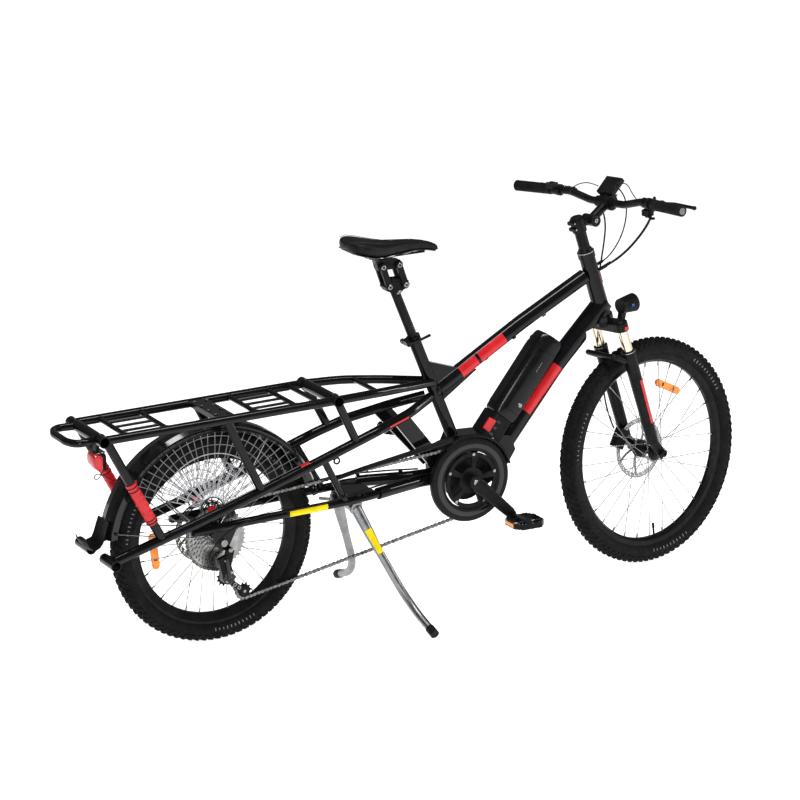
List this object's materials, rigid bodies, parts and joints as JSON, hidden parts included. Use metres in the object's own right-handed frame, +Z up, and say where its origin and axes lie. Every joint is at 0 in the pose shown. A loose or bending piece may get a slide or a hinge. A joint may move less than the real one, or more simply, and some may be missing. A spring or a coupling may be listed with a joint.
{
  "type": "longtail electric cargo bicycle",
  "caption": "Longtail electric cargo bicycle with a low rear deck, side tubes, mid-drive motor, suspension fork, centre stand and mudguard.",
  "frame": {"origin": "on the ground, at the middle of the bicycle's outline seen from above", "axes": "+X forward, +Y to the rider's left, +Z up; the mid-plane of the frame lies 21 mm to the right of the origin"},
  "size_m": [2.2033, 0.6954, 1.1647],
  "materials": {
    "frame_paint": "gloss black paint",
    "black_alloy": "black anodised",
    "silver_alloy": "satin silver",
    "steel": "bright steel",
    "nickel": "warm nickel plating",
    "tyre_rubber": "matte tyre rubber",
    "rubber": "soft matte rubber",
    "black_plastic": "matte black plastic",
    "gloss_plastic": "gloss black plastic",
    "grey_plastic": "grey net plastic",
    "saddle_skin": "black synthetic saddle cover",
    "hose": "black hose",
    "orange_lens": "orange reflector",
    "red_lens": "red lens",
    "red_trim": "red trim"
  },
  "bodies": {
    "frame": {"head_tube": "frame_paint", "top_tube": "frame_paint", "down_tube": "frame_paint", "seat_tube": "frame_paint", "side_tubes": "frame_paint", "chainstays": "frame_paint", "rack_deck": "frame_paint", "rack_struts": "frame_paint", "rear_fender": "gloss_plastic", "mudflap": "rubber", "dress_guards": "grey_plastic", "tail_light": "black_plastic", "motor": "black_plastic", "chain_guard": "black_plastic", "chain": "steel", "rear_axle": "steel", "rear_caliper": "black_alloy", "battery_dock": "black_plastic", "frame_cables": "hose", "steering_cables": "hose"},
    "rear_wheel": {"rear_tyre": "tyre_rubber", "rear_rim": "black_alloy", "rear_spokes": "steel", "rear_hub": "black_alloy"},
    "cassette": {"cassette": "steel"},
    "crank": {"crankset": "black_alloy"},
    "right_pedal": {"right_pedal": "black_alloy"},
    "left_pedal": {"left_pedal": "black_alloy"},
    "derailleur": {"derailleur": "black_alloy"},
    "cage": {"derailleur_cage": "black_alloy"},
    "upper_jockey": {"upper_jockey": "black_plastic"},
    "lower_jockey": {"lower_jockey": "black_plastic"},
    "stand": {"kickstand": "silver_alloy", "kickstand_feet": "rubber"},
    "battery": {"battery": "black_plastic"},
    "seat_lever": {"seat_lever": "black_alloy"},
    "seatpost": {"seatpost": "black_alloy"},
    "front_link": {"front_link": "black_alloy"},
    "rear_link": {"rear_link": "black_alloy"},
    "saddle": {"saddle_head": "black_alloy", "saddle": "saddle_skin"},
    "steering": {"fork_crown": "black_alloy", "fork_stanchions": "nickel", "stem": "black_alloy", "handlebar": "black_alloy", "grips": "rubber", "lever_bodies": "black_alloy"},
    "left_lever": {"left_brake_lever": "black_alloy"},
    "right_lever": {"right_brake_lever": "black_alloy"},
    "paddle": {"shift_paddle": "black_plastic"},
    "button": {"remote_button": "rubber"},
    "display": {"display": "black_plastic"},
    "headlamp": {"headlamp": "black_plastic"},
    "fork_lowers": {"fork_lowers": "black_alloy", "front_caliper": "black_alloy", "front_hose": "hose"},
    "front_wheel": {"front_tyre": "tyre_rubber", "front_rim": "black_alloy", "front_spokes": "steel", "front_hub": "black_alloy"}
  },
  "joints": [
    {"name": "steering_turn", "type": "hinge", "parent": "frame", "child": "steering", "pos_m": [0.6125, -0.021, 0.76], "axis": [-0.2924, 0, 0.9563], "range_deg": [-52, 28], "deforming": ["steering_cables"]},
    {"name": "fork_compression", "type": "slide", "parent": "steering", "child": "fork_lowers", "axis": [-0.2924, 0, 0.9563], "range_m": [0, 0.06], "stiffness_N_per_m": 9000, "springref_m": -0.012, "deforming": ["front_hose"]},
    {"name": "front_wheel_spin", "type": "hinge", "parent": "fork_lowers", "child": "front_wheel", "pos_m": [0.76994, -0.0153, 0.33682], "axis": [-0.1988, 0.9781, -0.0608], "continuous": true},
    {"name": "rear_wheel_spin", "type": "hinge", "parent": "frame", "child": "rear_wheel", "pos_m": [-0.6505, -0.021, 0.304], "axis": [0, 1, 0], "continuous": true},
    {"name": "crank_spin", "type": "hinge", "parent": "frame", "child": "crank", "pos_m": [0.1355, -0.021, 0.361], "axis": [0, 1, 0], "continuous": true, "deforming": ["chain"]},
    {"name": "cassette_spin", "type": "hinge", "parent": "frame", "child": "cassette", "pos_m": [-0.6505, -0.021, 0.304], "axis": [0, 1, 0], "continuous": true},
    {"name": "right_pedal_spin", "type": "hinge", "parent": "crank", "child": "right_pedal", "pos_m": [0.25779, -0.021, 0.24291], "axis": [0, 1, 0], "continuous": true},
    {"name": "left_pedal_spin", "type": "hinge", "parent": "crank", "child": "left_pedal", "pos_m": [0.01321, -0.021, 0.47909], "axis": [0, 1, 0], "continuous": true},
    {"name": "gear_shift", "type": "slide", "parent": "frame", "child": "derailleur", "axis": [0, -0.9063, 0.4226], "range_m": [0, 0.034], "deforming": ["chain", "frame_cables"]},
    {"name": "cage_swing", "type": "hinge", "parent": "derailleur", "child": "cage", "pos_m": [-0.6285, -0.05, 0.185], "axis": [0, 1, 0], "range_deg": [-14, 10], "stiffness_Nm_per_rad": 3, "deforming": ["chain"]},
    {"name": "upper_jockey_spin", "type": "hinge", "parent": "cage", "child": "upper_jockey", "pos_m": [-0.6285, -0.05, 0.185], "axis": [0, 1, 0], "continuous": true},
    {"name": "lower_jockey_spin", "type": "hinge", "parent": "cage", "child": "lower_jockey", "pos_m": [-0.5705, -0.05, 0.138], "axis": [0, 1, 0], "continuous": true},
    {"name": "stand_fold", "type": "hinge", "parent": "frame", "child": "stand", "pos_m": [-0.2325, -0.021, 0.333], "axis": [0, 1, 0], "range_deg": [0, 100]},
    {"name": "battery_removal", "type": "slide", "parent": "frame", "child": "battery", "axis": [-0.788, 0, 0.6157], "range_m": [0, 0.02]},
    {"name": "seat_lever_flip", "type": "hinge", "parent": "frame", "child": "seat_lever", "pos_m": [-0.0374, -0.04, 0.77386], "axis": [0.3746, 0, -0.9272], "range_deg": [0, 120]},
    {"name": "seat_height", "type": "slide", "parent": "frame", "child": "seatpost", "axis": [-0.3746, 0, 0.9272], "range_m": [-0.04, 0.1]},
    {"name": "post_front_link", "type": "hinge", "parent": "seatpost", "child": "front_link", "pos_m": [-0.04494, -0.021, 0.947], "axis": [0, -1, 0], "range_deg": [0, 36], "stiffness_Nm_per_rad": 60, "springref_deg": -20.05},
    {"name": "post_rear_link", "type": "hinge", "parent": "seatpost", "child": "rear_link", "pos_m": [-0.09594, -0.021, 0.946], "axis": [0, -1, 0], "range_deg": [0, 36]},
    {"name": "saddle_level", "type": "hinge", "parent": "front_link", "child": "saddle", "pos_m": [-0.06494, -0.021, 1.006], "axis": [0, -1, 0], "range_deg": [-36, 0]},
    {"name": "left_lever_pull", "type": "hinge", "parent": "steering", "child": "left_lever", "pos_m": [0.62755, 0.20429, 1.09603], "axis": [-0.0061, 0.0608, 0.9981], "range_deg": [0, 14], "stiffness_Nm_per_rad": 0.8, "springref_deg": -5.73},
    {"name": "right_lever_pull", "type": "hinge", "parent": "steering", "child": "right_lever", "pos_m": [0.70587, -0.181, 1.11997], "axis": [0.0061, -0.0608, -0.9981], "range_deg": [0, 14], "stiffness_Nm_per_rad": 0.8, "springref_deg": -5.73},
    {"name": "paddle_push", "type": "hinge", "parent": "steering", "child": "paddle", "pos_m": [0.66961, -0.16269, 1.09459], "axis": [-0.0061, 0.0608, 0.9981], "range_deg": [0, 30], "stiffness_Nm_per_rad": 0.3, "springref_deg": -5.73},
    {"name": "button_press", "type": "slide", "parent": "steering", "child": "button", "axis": [0.0061, -0.0608, -0.9981], "range_m": [0, 0.0015], "stiffness_N_per_m": 600, "springref_m": -0.0005},
    {"name": "display_tilt", "type": "hinge", "parent": "steering", "child": "display", "pos_m": [0.63691, 0.00479, 1.09521], "axis": [-0.1988, 0.9781, -0.0608], "range_deg": [-15, 15]},
    {"name": "headlamp_tilt", "type": "hinge", "parent": "steering", "child": "headlamp", "pos_m": [0.67823, -0.00841, 0.74761], "axis": [-0.1988, 0.9781, -0.0608], "range_deg": [-6, 20]}
  ],
  "couplings": [
    {"joint": "cassette_spin", "follows": "crank_spin", "ratio": 1.1364},
    {"joint": "upper_jockey_spin", "follows": "crank_spin", "ratio": -4.5455},
    {"joint": "lower_jockey_spin", "follows": "crank_spin", "ratio": 4.5455},
    {"joint": "post_rear_link", "follows": "post_front_link", "ratio": 1},
    {"joint": "saddle_level", "follows": "post_front_link", "ratio": -1}
  ]
}
